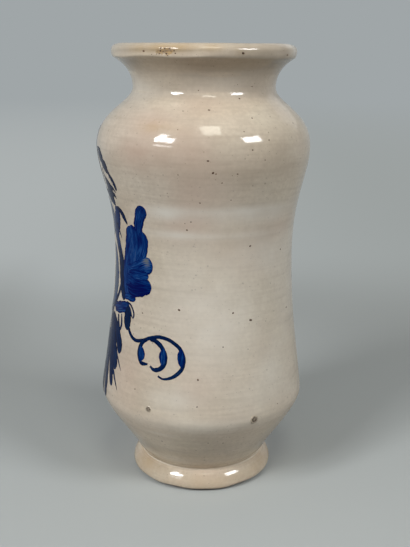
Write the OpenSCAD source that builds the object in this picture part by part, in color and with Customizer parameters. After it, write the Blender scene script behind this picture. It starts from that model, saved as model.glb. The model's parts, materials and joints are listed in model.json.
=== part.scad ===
// Albarello: a waisted apothecary's jar of thrown, tin-glazed earthenware, painted in blue.
// It stands on the plane z = 0 with its axis on Z, and its painted front faces -Y.
// The clay is thrown and turned in sections that are luted together with slip. A white glaze
// covers the outside and the inside, and the brushwork lies on the outer glaze.

/* [Foot] */
// Widest diameter of the spreading foot, over the glaze
foot_d = 90.5; // [88:0.5:100]
// Height of the foot ring, up to the groove under the body
foot_h = 12.5; // [10:0.5:16]
// Rounding of the foot's lower edge
foot_round = 3; // [2:0.25:4]
// Rise of the foot's upper face where it meets the groove, in degrees
foot_top_slope = 27; // [15:1:50]
// Thickness of the foot ring's wall
foot_ring_t = 13; // [8:0.5:16]
// Height of the bare clay edge that is left below the glaze
bare_edge_h = 1.2; // [0.6:0.1:2]

/* [Body] */
// Diameter of the groove between the foot and the body
groove_d = 79.6; // [77:0.2:84]
// Outward lean of the wall where it leaves the groove, in degrees
groove_lean = 8; // [0:1:20]
// Rise from the groove to the widest place of the lower belly
belly_rise = 43.5; // [37:0.5:49]
// Diameter of the lower belly
belly_d = 130; // [122:0.5:138]
// Rise from the lower belly to the waist
waist_rise = 91.5; // [75:0.5:105]
// Diameter of the waist
waist_d = 110.8; // [104:0.2:118]
// Rise from the waist to the widest place under the shoulder
shoulder_rise = 65; // [56:0.5:76]
// Diameter of the body under the shoulder
shoulder_d = 129.6; // [122:0.2:138]
// Thickness of the clay wall
wall_t = 7; // [5:0.25:8.5]
// Thickness of the floor over the foot ring
floor_t = 10; // [6:0.5:13]

/* [Neck and lip] */
// Rise from the widest place under the shoulder to the narrowest place of the neck
neck_rise = 34; // [30:0.5:40]
// Diameter of the neck
neck_d = 85.8; // [80:0.2:94]
// Depth of the luted seam below the narrowest place of the neck
neck_seam_drop = 3.5; // [2:0.5:8]
// Rise from the narrowest place of the neck to the lower edge of the lip
lip_rise = 17; // [14:0.5:20]
// Height of the lip's upright band
lip_h = 8; // [6:0.25:11]
// Diameter of the lip
lip_d = 110.4; // [104:0.2:118]
// How far the lip's lower edge lies inside its widest place
lip_undercut = 1.2; // [0.6:0.1:2.4]
// Diameter of the mouth at the inner edge of the lip
mouth_d = 92; // [86:0.5:96]
// Fall from the lip's crest to the inner edge of the lip
mouth_drop = 2; // [1:0.25:3]

/* [Coats and joints] */
// Thickness of the glaze outside
glaze_t = 0.5; // [0.3:0.05:0.8]
// Thickness of the glaze inside
inner_glaze_t = 0.4; // [0.3:0.05:0.8]
// Thickness of the luting slip between two clay sections
slip_t = 0.4; // [0.2:0.05:0.8]
// Thickness of the fired blue brushwork on the glaze
paint_t = 0.2; // [0.15:0.05:0.3]
// Height of the painted motif, from the crest's tip to the hanging plume's tip
motif_h = 174; // [150:1:182]

/* [Curves] */
// Upright pull at the foot's widest place, as a share of the foot's side
foot_side_pull = 0.45; // [0.3:0.01:0.6]
// Inward pull of the foot's upper face, as a share of the foot's side
foot_top_pull = 0.38; // [0.2:0.01:0.5]
// Pull on the wall at the groove, as a share of the rise above it
groove_pull = 0.11; // [0.05:0.01:0.2]
// Pull below the lower belly, as a share of the rise under it
belly_low_pull = 0.21; // [0.15:0.01:0.4]
// Pull above the lower belly, as a share of the rise to the waist
belly_top_pull = 0.08; // [0.05:0.01:0.2]
// Pull below the waist, as a share of the rise from the lower belly
waist_low_pull = 0.36; // [0.3:0.01:0.6]
// Pull above the waist, as a share of the rise to the shoulder
waist_top_pull = 0.58; // [0.3:0.01:0.65]
// Pull below the shoulder, as a share of the rise from the waist
shoulder_low_pull = 0.26; // [0.1:0.01:0.35]
// Pull above the shoulder, as a share of the rise to the neck
shoulder_top_pull = 0.59; // [0.5:0.01:0.7]
// Pull below the neck, as a share of the rise from the shoulder
neck_low_pull = 0.26; // [0.2:0.01:0.45]
// Pull above the neck, as a share of the rise to the lip
neck_top_pull = 0.71; // [0.5:0.01:0.8]

/* [Hidden] */
$fn = 180;

clay_colour = [0.74, 0.56, 0.40];
slip_colour = [0.66, 0.48, 0.34];
glaze_colour = [0.86, 0.81, 0.72];
blue_colour = [0.08, 0.14, 0.42];

// Heights of the places that set the outline
groove_z = foot_h;
belly_z = groove_z + belly_rise;
waist_z = belly_z + waist_rise;
shoulder_z = waist_z + shoulder_rise;
neck_z = shoulder_z + neck_rise;
lip_z = neck_z + lip_rise;
jar_h = lip_z + lip_h;
floor_z = foot_h + floor_t;

// Points of the outline, as radius and height
foot_edge = [foot_d / 2 - foot_round, 0];
foot_side = [foot_d / 2, foot_round];
groove = [groove_d / 2, groove_z];
belly = [belly_d / 2, belly_z];
waist = [waist_d / 2, waist_z];
shoulder = [shoulder_d / 2, shoulder_z];
neck = [neck_d / 2, neck_z];
lip_side = [lip_d / 2, lip_z + lip_h / 2];
lip_edge = [lip_d / 2 - lip_undercut, lip_z];
lip_crest = [(lip_d + mouth_d) / 4, jar_h];
mouth_edge = [mouth_d / 2, jar_h - mouth_drop];

// A pull of five ninths of a side gives a round turn, and a shorter one a sharper turn
round_pull = 5 / 9;
sharp_pull = 2 / 9;
slant = [1, 1] / norm([1, 1]);
foot_side_h = foot_h - foot_round;
foot_top_way = [-cos(foot_top_slope), sin(foot_top_slope)];
groove_way = [sin(groove_lean), cos(groove_lean)];
all_coats_t = glaze_t + wall_t + inner_glaze_t;

function up(length) = [0, length];
function out(length) = [length, 0];

// A span of the outline: its two ends and the two handles between them
function span(from, from_pull, to_pull, to) = [from, from + from_pull, to - to_pull, to];

outer_spans = [
    span(foot_edge, slant * round_pull * foot_round, up(round_pull * foot_round), foot_side),
    span(foot_side, up(foot_side_pull * foot_side_h), foot_top_way * foot_top_pull * foot_side_h, groove),
    span(groove, groove_way * groove_pull * belly_rise, up(belly_low_pull * belly_rise), belly),
    span(belly, up(belly_top_pull * waist_rise), up(waist_low_pull * waist_rise), waist),
    span(waist, up(waist_top_pull * shoulder_rise), up(shoulder_low_pull * shoulder_rise), shoulder),
    span(shoulder, up(shoulder_top_pull * neck_rise), up(neck_low_pull * neck_rise), neck),
    span(neck, up(neck_top_pull * lip_rise), slant * lip_undercut, lip_edge),
    span(lip_edge, slant * lip_undercut, up(sharp_pull * lip_h), lip_side),
    span(lip_side, up(round_pull * (jar_h - lip_side.y)), -out((lip_side.x - lip_crest.x) / 2), lip_crest)
];
first_wall_span = 2;
last_wall_span = 5;
mouth_spans = [
    span(neck - out(all_coats_t), up(round_pull * lip_rise), slant * mouth_drop, mouth_edge),
    span(mouth_edge, slant * mouth_drop / 2, out(mouth_drop), lip_crest)
];
span_steps = 16;

function bezier(s, t) =
    pow(1 - t, 3) * s[0] + 3 * pow(1 - t, 2) * t * s[1] + 3 * (1 - t) * t * t * s[2] + pow(t, 3) * s[3];
function heading(s, t) =
    pow(1 - t, 2) * (s[1] - s[0]) + 2 * (1 - t) * t * (s[2] - s[1]) + t * t * (s[3] - s[2]);
// The direction to the right of a span as it climbs: away from the clay outside, into it inside
function rightward(s, t) = let (h = heading(s, t)) [h.y, -h.x] / norm(h);

// Points along spans, moved sideways by shift
function path(spans, shift) = [
    for (s = spans, t = [0 : 1 / span_steps : 1]) bezier(s, t) + shift * rightward(s, t)
];
function wall_spans() = [for (i = [first_wall_span : last_wall_span]) outer_spans[i]];

// The jar's outline as if it were solid, inset by that much
module envelope(inset) {
    bearing = [foot_edge.x - glaze_t, 0];
    polygon(concat([[0, 0], bearing], path(outer_spans, -inset), [[0, jar_h - inset]]));
}

// The space inside the jar, grown by that much into the clay
module hollow(grown) {
    above = 1;
    wall_inset = all_coats_t - grown;
    intersection() {
        polygon(concat(
            [[0, foot_h]], path(wall_spans(), -wall_inset), path(mouth_spans, grown),
            [[lip_crest.x, jar_h + above], [0, jar_h + above]]
        ));
        band(floor_z - grown, jar_h + above);
    }
}

// A slice of the half plane between two heights
module band(low, high) {
    reach = max(belly_d, shoulder_d, lip_d);
    translate([0, low]) square([reach, high - low]);
}

module clay_section() {
    difference() {
        envelope(glaze_t);
        hollow(inner_glaze_t);
        square([foot_d / 2 - foot_ring_t, foot_h]);
    }
}

// The clay, or the slip, between two heights
module turned(low, high) {
    rotate_extrude() intersection() {
        clay_section();
        band(low, high);
    }
}

// Seams, each named by its lower face
foot_seam = foot_h - slip_t;
floor_seam = floor_z - inner_glaze_t;
neck_seam = neck_z - neck_seam_drop;
lip_seam = lip_z - slip_t;

module foot_ring() { color(clay_colour) turned(0, foot_seam); }
module foot_slip() { color(slip_colour) turned(foot_seam, foot_seam + slip_t); }
module base_floor() { color(clay_colour) turned(foot_seam + slip_t, floor_seam); }
module floor_slip() { color(slip_colour) turned(floor_seam, floor_seam + slip_t); }
module body_wall() { color(clay_colour) turned(floor_seam + slip_t, neck_seam); }
module neck_slip() { color(slip_colour) turned(neck_seam, neck_seam + slip_t); }
module neck_collar() { color(clay_colour) turned(neck_seam + slip_t, lip_seam); }
module lip_slip() { color(slip_colour) turned(lip_seam, lip_seam + slip_t); }
module lip_flange() { color(clay_colour) turned(lip_seam + slip_t, jar_h); }

module outer_glaze() {
    color(glaze_colour) rotate_extrude() intersection() {
        difference() {
            envelope(0);
            envelope(glaze_t);
            hollow(inner_glaze_t);
        }
        band(bare_edge_h, jar_h);
    }
}

module inner_glaze() {
    color(glaze_colour) rotate_extrude() difference() {
        hollow(inner_glaze_t);
        hollow(0);
        band(jar_h, 2 * jar_h);
    }
}

// Brushwork. A stroke is [widest, [angle, height], ...]: its widest place, then its points as
// degrees round the jar from the painted front and heights from the waist, in motif units. Each
// is drawn on the right half and mirrored to the left.
shield_strokes = [
    [9.0, [28, 32], [28, 26], [25, 20], [22, 15], [23, 10], [26, 4], [29, -2]],
    [5.0, [26, 5], [29, -4], [30, -12], [30, -20], [32, -26]],
    [3.4, [28, 32], [17, 37], [9, 39], [0, 39]],
    [3.0, [31, -14], [29, -24], [23, -33], [13, -40], [0, -43]],
    [2.4, [0, 33], [8, 33], [15, 30], [18, 25]],
    [6.0, [16, 29], [18, 25], [18, 18], [14, 11]],
    [7.0, [14, 6], [17, -1], [18, -10], [18, -20], [13, -30]],
    [2.4, [18, -18], [14, -29], [7, -36], [0, -39]],
    [3.0, [29, 30], [33, 29], [36, 26], [39, 22]],
    [1.4, [26, 21], [28, 16], [31, 12]]
];
crest_strokes = [
    [7.0, [13, 65], [18, 62], [23, 57], [27, 51]],
    [4.0, [20, 60], [25, 58], [30, 55]],
    [3.4, [24, 57], [29, 53], [31, 48]],
    [2.8, [27, 53], [31, 48], [34, 42]],
    [9.0, [17, 50], [21, 46], [25, 40], [25, 36], [23, 31]],
    [4.4, [8, 41], [10, 50], [9, 60], [5, 68]],
    [4.4, [2, 40], [2, 52], [3, 66], [2, 76]]
];
leaf_strokes = [
    [7.8, [49, 14], [50, 22], [52, 29], [55, 36]],
    [9.5, [42, 24], [40, 16], [39, 8], [37, 0], [36, -8], [37, -16], [39, -24]],
    [10.0, [45, 24], [45, 10], [44, 0], [43, -10], [43, -22]],
    [7.5, [52, 21], [52, 12], [50, 5], [47, -1]],
    [11.0, [60, 1], [53, -1], [46, -4], [38, -7]],
    [10.0, [59, -13], [51, -14], [44, -14], [35, -12]],
    [8.0, [36, -16], [43, -17], [52, -17]],
    [5.0, [48, -22], [43, -23], [38, -23], [34, -25]]
];
cup_strokes = [
    [7.5, [21, -34], [27, -32], [34, -30], [42, -28]],
    [7.0, [39, -27], [39, -34], [39, -38], [40, -43]],
    [1.0, [37, -26], [41, -27], [44, -31], [45, -34]],
    [1.0, [28, -36], [29, -41], [31, -45], [33, -41], [32, -35]]
];
tendril_strokes = [
    [1.9, [41, -41], [42, -43], [45, -46], [49, -47], [54, -46], [59, -43], [64, -42], [69, -42],
        [74, -44], [78, -48], [80, -52], [80, -57], [77, -62], [73, -65], [69, -66], [65, -65]],
    [1.8, [57, -44], [54, -47], [52, -51], [52, -55], [54, -59], [58, -59]],
    [2.2, [59, -44], [63, -45], [67, -48], [69, -52], [69, -57], [66, -60], [63, -62], [60, -60]],
    [4.2, [53, -50], [54, -54], [53, -58]],
    [4.6, [67, -49], [68, -53], [68, -58]],
    [4.4, [78, -47], [79, -52], [79, -57]]
];
hanging_strokes = [
    [7.0, [19, -37], [25, -43], [30, -50], [33, -55], [34, -60]],
    [7.0, [20, -45], [25, -55], [28, -62], [31, -71]],
    [1.2, [30, -59], [33, -64], [37, -69]],
    [7.0, [16, -47], [20, -58], [24, -67], [28, -76]],
    [1.3, [28, -70], [32, -76], [35, -82]],
    [5.5, [19, -60], [23, -68], [26, -76], [28, -83]],
    [6.0, [12, -50], [16, -68], [18, -82], [19, -93]],
    [6.0, [6, -50], [9, -66], [11, -80], [11, -94]],
    [5.5, [2, -46], [3, -66], [4, -84], [3, -98]]
];
motif_units_tall = 174;
motif_unit = motif_h / motif_units_tall;
longest_step = 2.8;
brush_tip = 0.3;
widest_facet = 2.6;
// Lift of a stroke's underside, so that its flat facets clear the round glaze
paint_seat = 0.06;

// Radius of the outer glaze at a height on the body
body_radii = [for (p = path(wall_spans(), 0)) [p.y, p.x]];
function radius_at(z) = lookup(z, body_radii);
function on_jar(at, lift) =
    let (z = waist_z + at.y * motif_unit, r = radius_at(z) + lift) [r * sin(at.x), -r * cos(at.x), z];

// A smooth line through a stroke's points
function ends_doubled(p) = concat([2 * p[0] - p[1]], p, [2 * p[len(p) - 1] - p[len(p) - 2]]);
function smooth(p, k, t) = let (a = p[k], b = p[k + 1], c = p[k + 2], d = p[k + 3])
    b + t * ((c - a) / 2 + t * ((a - 2.5 * b + 2 * c - d / 2) + t * (1.5 * b - a / 2 - 1.5 * c + d / 2)));
function centreline(points) = let (p = ends_doubled(points)) concat(
    [
        for (k = [0 : len(points) - 2])
            let (steps = ceil(norm(points[k + 1] - points[k]) / longest_step))
            for (i = [0 : steps - 1]) smooth(p, k, i / steps)
    ],
    [points[len(points) - 1]]
);
// A loaded brush: the stroke swells to its full width and comes back to a blunt tip
function swell(t) = brush_tip + (1 - brush_tip) * sqrt(sin(180 * t));

// One stroke as a thin closed skin on the glaze
module stroke(s) {
    line = centreline([for (i = [1 : len(s) - 1]) s[i]]);
    last = len(line) - 1;
    across = ceil(s[0] / widest_facet);
    ring = 2 * (across + 1);
    points = [
        for (i = [0 : last])
            let (ahead = line[min(i + 1, last)] - line[max(i - 1, 0)])
            let (side = [-ahead.y, ahead.x] / norm(ahead) * s[0] / 2 * swell(i / last))
            for (j = [0 : ring - 1])
                j <= across ? on_jar(line[i] + side * (2 * j / across - 1), paint_seat)
                            : on_jar(line[i] + side * (2 * (ring - 1 - j) / across - 1), paint_t)
    ];
    sides = [
        for (i = [0 : last - 1]) for (j = [0 : ring - 1])
            let (a = i * ring + j, b = i * ring + (j + 1) % ring)
            each [[a, a + ring, b], [b, a + ring, b + ring]]
    ];
    start_cap = [
        for (j = [0 : across - 1]) let (k = ring - 1 - j) each [[j, j + 1, k], [j + 1, k - 1, k]]
    ];
    end_cap = [for (f = start_cap) [f[1], f[0], f[2]] + last * ring * [1, 1, 1]];
    polyhedron(points, concat(sides, start_cap, end_cap));
}

module painted(strokes) {
    color(blue_colour) for (turn = [0, 1]) mirror([turn, 0, 0]) for (s = strokes) stroke(s);
}

module shield_lines() { painted(shield_strokes); }
module crest_plume() { painted(crest_strokes); }
module side_leaves() { painted(leaf_strokes); }
module leaf_cups() { painted(cup_strokes); }
module tendrils() { painted(tendril_strokes); }
module hanging_plume() { painted(hanging_strokes); }

foot_ring();
foot_slip();
base_floor();
floor_slip();
body_wall();
neck_slip();
neck_collar();
lip_slip();
lip_flange();
outer_glaze();
inner_glaze();
shield_lines();
crest_plume();
side_leaves();
leaf_cups();
tendrils();
hanging_plume();
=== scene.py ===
"""The albarello's finish: cream tin glaze on turned clay, cobalt brushwork, and the marks of kiln and use.

Lists are in millimetres and degrees, meshes in metres like the frame. Angles go round the jar from the
painted front (-Y) towards the photographed side (+X), so that 90 degrees faces the camera.
"""
import json
import math
import random

import bpy
import numpy as np
from mathutils import Matrix, Vector

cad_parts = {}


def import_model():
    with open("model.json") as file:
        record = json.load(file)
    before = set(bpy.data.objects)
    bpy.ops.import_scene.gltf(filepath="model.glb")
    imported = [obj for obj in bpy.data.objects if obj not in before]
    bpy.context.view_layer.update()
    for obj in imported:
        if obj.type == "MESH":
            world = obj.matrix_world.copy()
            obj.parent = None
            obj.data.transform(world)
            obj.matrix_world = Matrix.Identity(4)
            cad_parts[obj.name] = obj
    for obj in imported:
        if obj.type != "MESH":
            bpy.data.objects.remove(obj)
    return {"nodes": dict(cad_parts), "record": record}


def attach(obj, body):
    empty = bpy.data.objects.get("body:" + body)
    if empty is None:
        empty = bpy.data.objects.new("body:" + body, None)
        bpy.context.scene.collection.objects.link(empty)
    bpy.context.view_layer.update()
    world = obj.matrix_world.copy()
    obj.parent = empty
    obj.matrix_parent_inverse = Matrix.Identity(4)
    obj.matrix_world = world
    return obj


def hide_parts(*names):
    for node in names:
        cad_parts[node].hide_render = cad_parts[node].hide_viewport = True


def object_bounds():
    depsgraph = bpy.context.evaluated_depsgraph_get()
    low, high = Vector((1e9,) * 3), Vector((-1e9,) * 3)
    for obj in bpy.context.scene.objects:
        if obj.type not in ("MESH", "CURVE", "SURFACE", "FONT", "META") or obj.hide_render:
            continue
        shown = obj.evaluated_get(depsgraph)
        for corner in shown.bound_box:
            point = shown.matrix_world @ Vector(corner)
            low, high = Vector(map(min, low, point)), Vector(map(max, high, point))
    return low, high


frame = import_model()
cad_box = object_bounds()

MM = 0.001

# The camera of the photograph: frame and focal length in pixels, its place in metres
PHOTO_W, PHOTO_H = 410, 547
FOCAL_PIXELS = 800
SENSOR = 36
CAMERA_AT = Vector((0.49346, 0.00168, 0.26749))
CAMERA_PITCH = math.radians(15.57)
CAMERA_ROLL = math.radians(0.46)


def camera_axes():
    """Right, up and forward of the camera in the row frame."""
    pitch_cos, pitch_sin = math.cos(CAMERA_PITCH), math.sin(CAMERA_PITCH)
    level, rise = Vector((0, 1, 0)), Vector((-pitch_sin, 0, pitch_cos))
    roll_cos, roll_sin = math.cos(CAMERA_ROLL), math.sin(CAMERA_ROLL)
    forward = Vector((-pitch_cos, 0, -pitch_sin))
    return level * roll_cos + rise * roll_sin, rise * roll_cos - level * roll_sin, forward


def make_camera():
    """The camera at the photograph's place and angle."""
    data = bpy.data.cameras.new("portrait_camera")
    data.sensor_width = SENSOR
    data.lens = FOCAL_PIXELS / PHOTO_H * SENSOR
    camera = bpy.data.objects.new("portrait_camera", data)
    right, up, forward = camera_axes()
    camera.matrix_world = Matrix.Translation(CAMERA_AT) @ Matrix((right, up, -forward)).transposed().to_4x4()
    bpy.context.collection.objects.link(camera)
    bpy.context.scene.camera = camera


# The turned shape, read from the frame

# A face counts as an outer or inner one from this share of its normal on
FACES_OUT = 0.02
STEPS_PER_SPAN = 24


def turned_outline(node, side):
    """Heights and radii of a turned node's rings: side 1 for its outer face, -1 for the face to the axis."""
    mesh = frame["nodes"][node].data
    rings = {}
    for face in mesh.polygons:
        spoke = Vector((face.center.x, face.center.y, 0)).normalized()
        if side * face.normal.dot(spoke) < FACES_OUT:
            continue
        for corner in face.vertices:
            at = mesh.vertices[corner].co / MM
            height, radius = round(at.z, 2), math.hypot(at.x, at.y)
            rings[height] = side * max(side * rings.get(height, radius), side * radius)
    return np.array(sorted(rings.items()))


def smooth_path(points, spacing):
    """A smooth line through points, with steps that spacing gives for each place."""
    ends = np.concatenate([[2 * points[0] - points[1]], points, [2 * points[-1] - points[-2]]])
    steps = np.linspace(0, 1, STEPS_PER_SPAN, endpoint=False)[:, None]
    fine = []
    for a, b, c, d in zip(ends, ends[1:], ends[2:], ends[3:]):
        bend = a - 2.5 * b + 2 * c - d / 2
        fine.append(b + steps * ((c - a) / 2 + steps * (bend + steps * (1.5 * (b - c) + (d - a) / 2))))
    fine = np.concatenate(fine + [points[-1:]])
    run = np.concatenate([[0], np.cumsum(np.hypot(*np.diff(fine[:, :2], axis=0).T))])
    stops = [0.0]
    while stops[-1] < run[-1]:
        here = np.interp(stops[-1], run, np.arange(len(run)))
        stops.append(stops[-1] + spacing(*fine[int(here), :2]))
    stops = np.array(stops) * run[-1] / stops[-1]
    return np.stack([np.interp(stops, run, column) for column in fine.T], axis=1)


# Heights of the outline's turns, in mm
FOOT_TOP, WAIST_AT, NECK_AT, LIP_EDGE = 12.5, 147.5, 246.5, 263.5
JAR_TOP = cad_box[1].z / MM
# Steps between the glaze's rings, and how far from each sharp turn the closer steps reach, in mm
SHARP_STEP, NEAR_STEP, PLAIN_STEP = 0.5, 0.8, 1.4
LIP_REACH, GROOVE_REACH, FOOT_REACH, NECK_REACH = 4, 2.5, 8, 6


def glaze_spacing(height, _):
    """Rings lie closer where the outline turns sharply, at the lip, the neck and the foot."""
    if height > LIP_EDGE - LIP_REACH or abs(height - FOOT_TOP) < GROOVE_REACH:
        return SHARP_STEP
    near_turn = height < FOOT_TOP + FOOT_REACH or abs(height - NECK_AT) < NECK_REACH
    return NEAR_STEP if near_turn else PLAIN_STEP


def glazed_outline():
    """The outline of the outer glaze, smooth below and above the crisp groove over the foot."""
    rings = turned_outline("outer_glaze", 1)
    below, above = rings[:, 0] <= FOOT_TOP, rings[:, 0] >= FOOT_TOP
    foot, body = (smooth_path(rings[part], glaze_spacing) for part in (below, above))
    return np.concatenate([foot, body[1:]])


OUT_Z, OUT_R = glazed_outline().T
STEEPEST = 6
LEAST_RISE = 1e-6
OUT_SLOPE = np.clip(np.gradient(OUT_R) / np.maximum(np.gradient(OUT_Z), LEAST_RISE), -STEEPEST, STEEPEST)


def waves(seed, count, lowest, highest, short, long):
    """Sums of waves round and along the jar: turns per round, and wavelengths along it in mm."""
    rng = random.Random(seed)
    parts = []
    for _ in range(count):
        turns = rng.randint(lowest, highest) * rng.choice((-1, 1))
        parts.append((turns, 2 * math.pi / rng.uniform(short, long), rng.uniform(0, 2 * math.pi)))
    return parts


def swing(parts, angle, height):
    """The sum of waves at a place, about -1 to 1."""
    total = sum(np.sin(turns * np.radians(angle) + per_mm * height + phase) for turns, per_mm, phase in parts)
    return total / math.sqrt(len(parts))


# Unevenness: seed, number of waves, fewest and most turns per round, shortest and longest wave in mm
LUMPS = waves(3, 7, 1, 5, 50, 160)
DIMPLES = waves(5, 9, 6, 22, 9, 30)
LIP_WAVE = waves(8, 4, 2, 6, 60, 90)
LEDGE_WAVE = waves(9, 3, 3, 8, 400, 500)
CHIP_CRUMBLE = waves(12, 6, 90, 140, 1.5, 3)
HEM_WAVE = waves(13, 5, 3, 14, 50, 90)
LIP_DENTS = waves(14, 7, 18, 60, 5, 14)

# How far lumps, dimples, the throwing spiral, the lip's wave and its dents lift the skin, in mm
LUMP_RISE, DIMPLE_RISE, SPIRAL_RISE, LIP_RISE, DENT_RISE = 0.09, 0.008, 0.012, 0.12, 0.025
THROWING_PITCH = 8.5
# From and to which height the spiral and the lip's wave go, and over how much they fade, in mm
THROWN_WALL = (26, 236, 14)
WAVY_LIP = (LIP_EDGE - 1, JAR_TOP + 9, 3)
# Glaze that ran together over the foot, and the swelling of the foot's low edge: rise, height and reach in mm
PROUD_BANDS = [(0.6, FOOT_TOP + 5.5, 4), (0.5, 3.5, 4)]
# How far the waist swells to the right of the photograph, over which angles from there and which heights
WAIST_SWELL, SWOLLEN_SIDE = 0.6, 180
SWOLLEN_ROUND, SWOLLEN_UP = (-50, 50, 70), (124, 200, 40)
# A ledge of glaze along the lip's edge: middle and reach in degrees, place, rise and the hollow above in mm
LEDGE_SIDE, LEDGE_ROUND = 58, (-42, 36, 18)
LEDGE_LIFT, LEDGE_WANDER = 0.9, 0.7
LEDGE_RISE, LEDGE_REACH = 0.5, 0.8
HOLLOW_DEPTH, HOLLOW_ABOVE, HOLLOW_REACH = 0.22, 2.6, 1.2
# How far the thrown body leans aside on its way up: height, then mm towards the right of the photograph
LEAN = np.array([
    (0, 0.3), (24, 0.3), (48, -0.2), (80, 0.2), (120, 0.3), (200, 0.3), (216, 0.2), (240, 0.3), (262, 0.15),
])


def lean(height):
    """How far the body stands aside at a height, in mm."""
    return np.interp(height, LEAN[:, 0], LEAN[:, 1])


def bell(distance, reach):
    """1 at no distance, fading softly over reach."""
    return np.exp(-np.square(distance / reach))


def gate(value, low, high, soft):
    """1 between low and high, fading to 0 over soft on both sides."""
    rise = np.clip((value - low) / soft + 0.5, 0, 1)
    fall = np.clip((high - value) / soft + 0.5, 0, 1)
    return rise * rise * (3 - 2 * rise) * fall * fall * (3 - 2 * fall)


def turn_gap(angle, centre):
    """Degrees from centre to angle, the short way round."""
    return (np.asarray(angle) - centre + 180) % 360 - 180


def skin_rise(angle, height):
    """How far the glaze stands proud of the turned shape, in mm."""
    spiral = np.sin(2 * math.pi * (height / THROWING_PITCH + np.asarray(angle) / 360))
    rise = LUMP_RISE * swing(LUMPS, angle, height) + DIMPLE_RISE * swing(DIMPLES, angle, height)
    rise = rise + SPIRAL_RISE * gate(height, *THROWN_WALL) * spiral
    uneven = LIP_RISE * swing(LIP_WAVE, angle, height) + DENT_RISE * swing(LIP_DENTS, angle, height)
    rise = rise + gate(height, *WAVY_LIP) * uneven
    for proud, at, reach in PROUD_BANDS:
        rise = rise + proud * bell(height - at, reach)
    swollen = gate(turn_gap(angle, SWOLLEN_SIDE), *SWOLLEN_ROUND) * gate(height, *SWOLLEN_UP)
    over_ledge = height - LIP_EDGE - LEDGE_LIFT - LEDGE_WANDER * swing(LEDGE_WAVE, angle, 0)
    ledge = LEDGE_RISE * bell(over_ledge, LEDGE_REACH)
    ledge = ledge - HOLLOW_DEPTH * bell(over_ledge - HOLLOW_ABOVE, HOLLOW_REACH)
    return rise + WAIST_SWELL * swollen + gate(turn_gap(angle, LEDGE_SIDE), *LEDGE_ROUND) * ledge


def jar_point(angle, height, radius, slope, lift):
    """Places on the glazed skin, in metres, lifted off it by lift."""
    across = 1 / np.sqrt(1 + slope * slope)
    proud = skin_rise(angle, height) + lift
    out = (radius + across * proud) * MM
    turn = np.radians(angle)
    aside = -out * np.cos(turn) + lean(height) * MM
    return np.stack([out * np.sin(turn), aside, (height - slope * across * proud) * MM], axis=-1)


def on_body(angle, height, lift=0.0):
    """A place on the outside, by its angle and height alone."""
    radius = np.interp(height, OUT_Z, OUT_R)
    slope = np.interp(height, OUT_Z, OUT_SLOPE)
    return jar_point(np.asarray(angle, float), np.asarray(height, float), radius, slope, lift)


# How far from the camera a line of sight is searched for the jar, and in which steps, in metres
SIGHT_NEAR, SIGHT_FAR, SIGHT_STEP = 0.36, 0.56, 0.0001


def seen_at(px, py):
    """The angle and height of the place on the jar that a pixel of the photograph shows."""
    right, up, forward = camera_axes()
    ray = forward + right * ((px - PHOTO_W / 2) / FOCAL_PIXELS) - up * ((py - PHOTO_H / 2) / FOCAL_PIXELS)
    along = np.arange(SIGHT_NEAR, SIGHT_FAR, SIGHT_STEP)[:, None]
    places = (np.array(CAMERA_AT) + along * np.array(ray)) / MM
    places[:, 1] -= lean(places[:, 2])
    gap = np.hypot(places[:, 0], places[:, 1]) - np.interp(places[:, 2], OUT_Z, OUT_R)
    x, y, z = places[np.argmax(gap < 0)]
    return math.degrees(math.atan2(x, -y)), z


# Meshes

def new_piece(name, points, faces, material):
    """A smooth mesh that rides on the jar, with the material it is given."""
    mesh = bpy.data.meshes.new(name)
    mesh.from_pydata(np.asarray(points).tolist(), [], faces)
    mesh.polygons.foreach_set("use_smooth", [True] * len(faces))
    mesh.materials.append(material)
    piece = bpy.data.objects.new(name, mesh)
    bpy.context.collection.objects.link(piece)
    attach(piece, "root")
    return piece


def mark(piece, name, values):
    """Stores one value for each vertex, which the piece's material reads by name."""
    field = piece.data.attributes.new(name, "FLOAT", "POINT")
    field.data.foreach_set("value", np.asarray(values, float).ravel())


def ring_faces(rings, sides, close):
    """Quads between rings of points, with the last ring joined to the first where close is set."""
    row = np.arange(rings if close else rings - 1)[:, None]
    step = np.arange(sides)[None, :]
    low, high = row * sides, (row + 1) % rings * sides
    ahead = (step + 1) % sides
    return np.stack([low + step, low + ahead, high + ahead, high + step], axis=-1).reshape(-1, 4)


def fan_faces(centre, first, sides, turned):
    """Triangles from a centre to the ring that starts at first, turned over where turned is set."""
    fan = [(centre, first + k, first + (k + 1) % sides) for k in range(sides)]
    return [face[::-1] for face in fan] if turned else fan


# Materials

def linear(red, green, blue):
    """A colour as read off a picture, 0 to 255, made linear."""
    parts = [c / 255 for c in (red, green, blue)]
    return tuple(p / 12.92 if p < 0.04045 else ((p + 0.055) / 1.055) ** 2.4 for p in parts) + (1.0,)


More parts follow.
